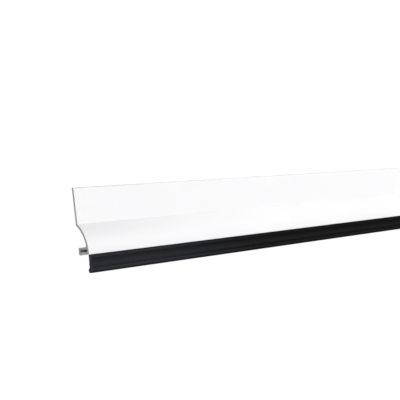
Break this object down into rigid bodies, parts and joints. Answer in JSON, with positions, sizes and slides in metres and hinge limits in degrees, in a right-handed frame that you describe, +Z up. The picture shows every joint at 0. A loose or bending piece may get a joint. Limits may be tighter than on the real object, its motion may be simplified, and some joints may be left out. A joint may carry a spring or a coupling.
{
  "type": "adhesive door bottom seal",
  "caption": "Stick-on door bottom seal: white aluminium carrier with a curved apron, a black rubber strip in its slot, and foam tape on its back.",
  "frame": {"origin": "the middle of the adhesive face: the back of the tape's release liner, where the seal meets the door", "axes": "+X along the length, +Y towards the door, so the front faces -Y, and +Z up as the seal is fixed on the door"},
  "size_m": [1, 0.0094, 0.0478],
  "materials": {
    "coated_aluminium": "satin",
    "seal_rubber": "satin",
    "tape_foam": "matte",
    "liner_paper": "satin"
  },
  "bodies": {
    "root": {"carrier": "coated_aluminium", "seal_strip": "seal_rubber", "adhesive_tape": "tape_foam", "release_liner": "liner_paper"}
  },
  "joints": []
}
